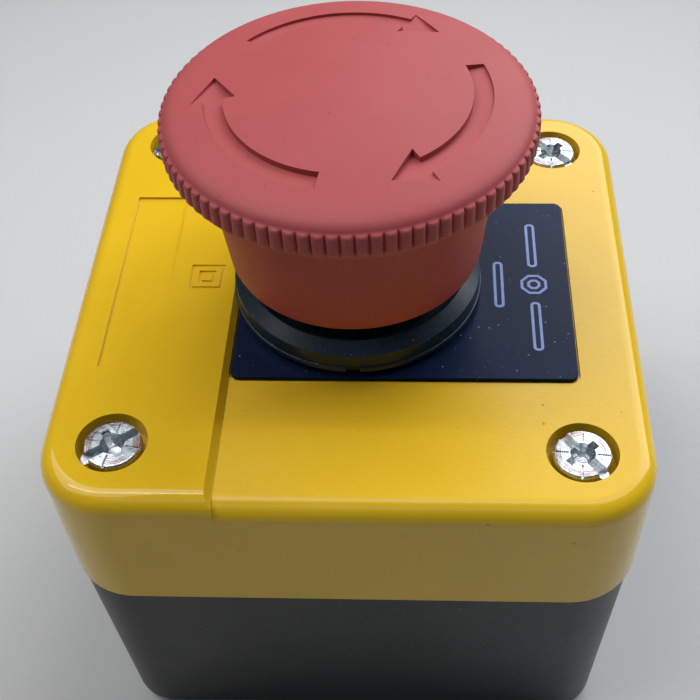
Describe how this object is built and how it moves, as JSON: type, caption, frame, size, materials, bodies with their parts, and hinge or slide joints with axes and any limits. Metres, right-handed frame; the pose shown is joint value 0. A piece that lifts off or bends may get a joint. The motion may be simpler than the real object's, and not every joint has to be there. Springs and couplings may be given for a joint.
{
  "type": "emergency stop station",
  "caption": "Square two-part control box with a red twist-to-release mushroom push button, legend plate and switching contacts inside.",
  "frame": {"origin": "centre of the box's back, the flat face that goes against a wall", "axes": "+Z along the button's axis, out of the front of the station; +X the way up of the legend; +Y completes a right-handed frame"},
  "size_m": [0.068, 0.068, 0.0817],
  "materials": {
    "yellow_plastic": "glossy moulded plastic with a fine grain on the main face",
    "black_plastic": "satin moulded plastic",
    "red_plastic": "satin moulded plastic",
    "legend_laminate": "satin laminate with a pale printed mark",
    "rubber": "matte",
    "grey_plastic": "satin moulded plastic",
    "zinc_steel": "bright zinc plate",
    "spring_steel": "drawn wire",
    "contact_brass": "stamped strip"
  },
  "bodies": {
    "enclosure": {"base_box": "black_plastic", "cover": "yellow_plastic", "cover_gasket": "rubber", "cover_screw_front_left": "zinc_steel", "cover_screw_front_right": "zinc_steel", "cover_screw_back_left": "zinc_steel", "cover_screw_back_right": "zinc_steel", "legend_plate": "legend_laminate", "bezel": "black_plastic", "bezel_seal": "rubber", "neck_seal": "rubber", "fixing_nut": "black_plastic", "contact_carrier": "grey_plastic", "lock_screw": "zinc_steel", "latch_spring": "spring_steel", "return_spring": "spring_steel", "nc_housing": "black_plastic", "nc_side_cover": "grey_plastic", "nc_fixed_contact_left": "contact_brass", "nc_fixed_contact_right": "contact_brass", "nc_clamp_left": "zinc_steel", "nc_clamp_right": "zinc_steel", "nc_terminal_screw_left": "zinc_steel", "nc_terminal_screw_right": "zinc_steel", "nc_contact_spring": "spring_steel", "no_housing": "black_plastic", "no_side_cover": "grey_plastic", "no_fixed_contact_left": "contact_brass", "no_fixed_contact_right": "contact_brass", "no_clamp_left": "zinc_steel", "no_clamp_right": "zinc_steel", "no_terminal_screw_left": "zinc_steel", "no_terminal_screw_right": "zinc_steel", "no_contact_spring": "spring_steel"},
    "slider": {"slide_sleeve": "grey_plastic", "pusher": "grey_plastic", "twist_spring": "spring_steel"},
    "knob": {"mushroom_head": "red_plastic", "stem": "black_plastic", "retaining_clip": "spring_steel"},
    "nc_plunger": {"nc_button": "red_plastic", "nc_bridge": "contact_brass"},
    "no_plunger": {"no_button": "grey_plastic", "no_bridge": "contact_brass"},
    "latch_left": {"latch_pin_left": "zinc_steel"},
    "latch_right": {"latch_pin_right": "zinc_steel"}
  },
  "joints": [
    {"name": "press", "type": "slide", "parent": "enclosure", "child": "slider", "axis": [0, 0, -1], "range_m": [0, 0.003], "stiffness_N_per_m": 2500, "springref_m": -0.005, "deforming": ["return_spring"]},
    {"name": "twist", "type": "hinge", "parent": "slider", "child": "knob", "pos_m": [0.0003, -0.0008, 0.07], "axis": [0, 0, 1], "range_deg": [-45, 0], "stiffness_Nm_per_rad": 0.08, "springref_deg": 22.92},
    {"name": "nc_contact", "type": "slide", "parent": "enclosure", "child": "nc_plunger", "axis": [0, 0, -1], "range_m": [0, 0.003], "deforming": ["nc_contact_spring"]},
    {"name": "no_contact", "type": "slide", "parent": "enclosure", "child": "no_plunger", "axis": [0, 0, -1], "range_m": [0, 0.003], "deforming": ["no_contact_spring"]},
    {"name": "latch_in_left", "type": "slide", "parent": "enclosure", "child": "latch_left", "axis": [1, 0, 0], "range_m": [0, 0.001]},
    {"name": "latch_in_right", "type": "slide", "parent": "enclosure", "child": "latch_right", "axis": [-1, 0, 0], "range_m": [0, 0.001]}
  ],
  "couplings": [
    {"joint": "nc_contact", "follows": "press", "ratio": 1},
    {"joint": "no_contact", "follows": "press", "ratio": 1},
    {"joint": "latch_in_left", "follows": "press", "ratio": 0.33},
    {"joint": "latch_in_right", "follows": "press", "ratio": 0.33}
  ]
}
